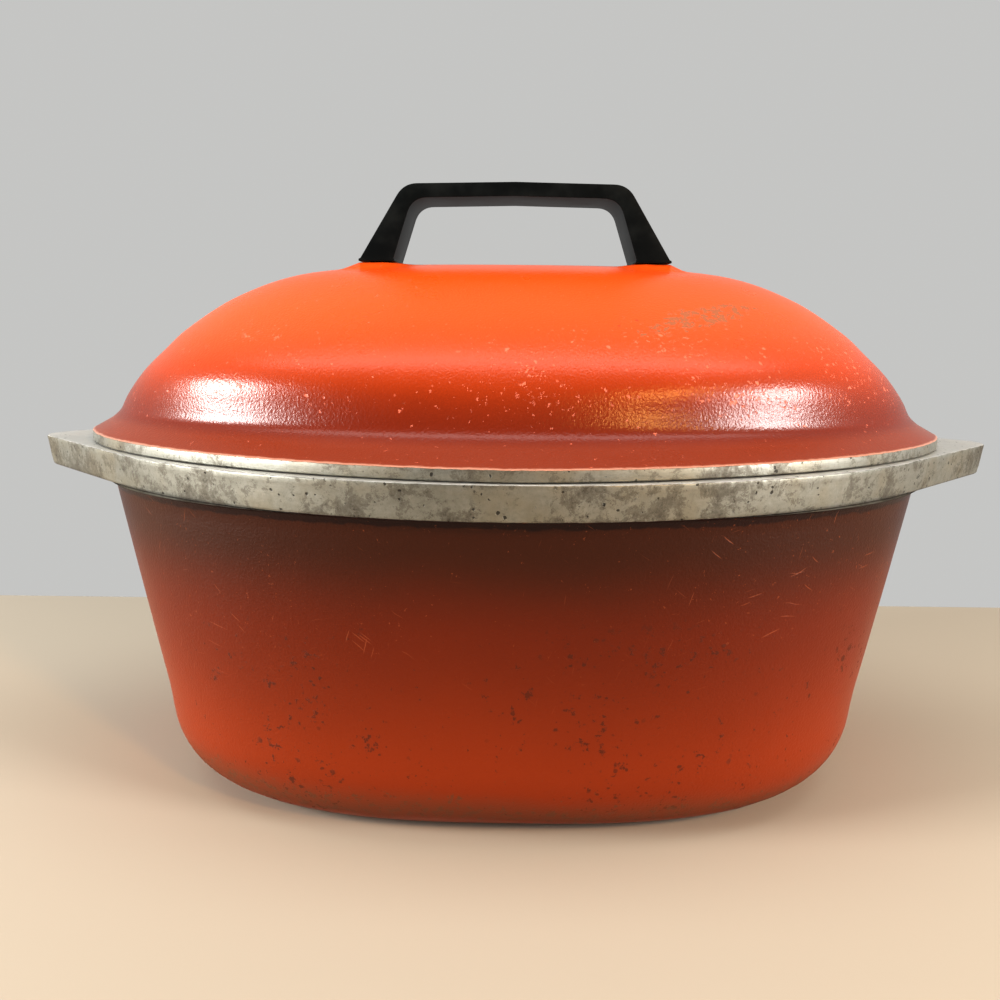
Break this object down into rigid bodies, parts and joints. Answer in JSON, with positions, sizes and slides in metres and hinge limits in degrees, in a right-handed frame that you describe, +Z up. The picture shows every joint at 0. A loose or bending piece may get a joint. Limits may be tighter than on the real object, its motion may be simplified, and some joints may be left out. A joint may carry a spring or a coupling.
{
  "type": "covered roaster",
  "caption": "Oval covered roaster in cast aluminium: deep enamelled pot with a tabbed rim, lift-off domed lid and a black strap grip screwed to the lid.",
  "frame": {"origin": "centre of the pot's base, on the surface it stands on", "axes": "+X along the long axis towards the right-hand tab, +Y away from the front, +Z up"},
  "size_m": [0.37, 0.236, 0.2198],
  "materials": {
    "pot_enamel": "glossy enamel outside, dark brown at the rim fading to orange-red, over cast aluminium left bare on the rim",
    "lid_enamel": "glossy enamel outside, maroon at the edge fading to bright orange on top, over cast aluminium left bare on the edge",
    "black_phenolic": "satin black moulded phenolic",
    "brass": "turned brass",
    "screw_steel": "zinc-plated steel"
  },
  "bodies": {
    "pot": {"pot_body": "pot_enamel"},
    "lid": {"lid": "lid_enamel", "lid_handle": "black_phenolic", "handle_insert_left": "brass", "handle_screw_left": "screw_steel", "screw_washer_left": "screw_steel", "handle_insert_right": "brass", "handle_screw_right": "screw_steel", "screw_washer_right": "screw_steel"}
  },
  "joints": [
    {"name": "lid_lift", "type": "slide", "parent": "pot", "child": "lid", "axis": [0, 0, 1], "range_m": [0, 0.14]}
  ]
}
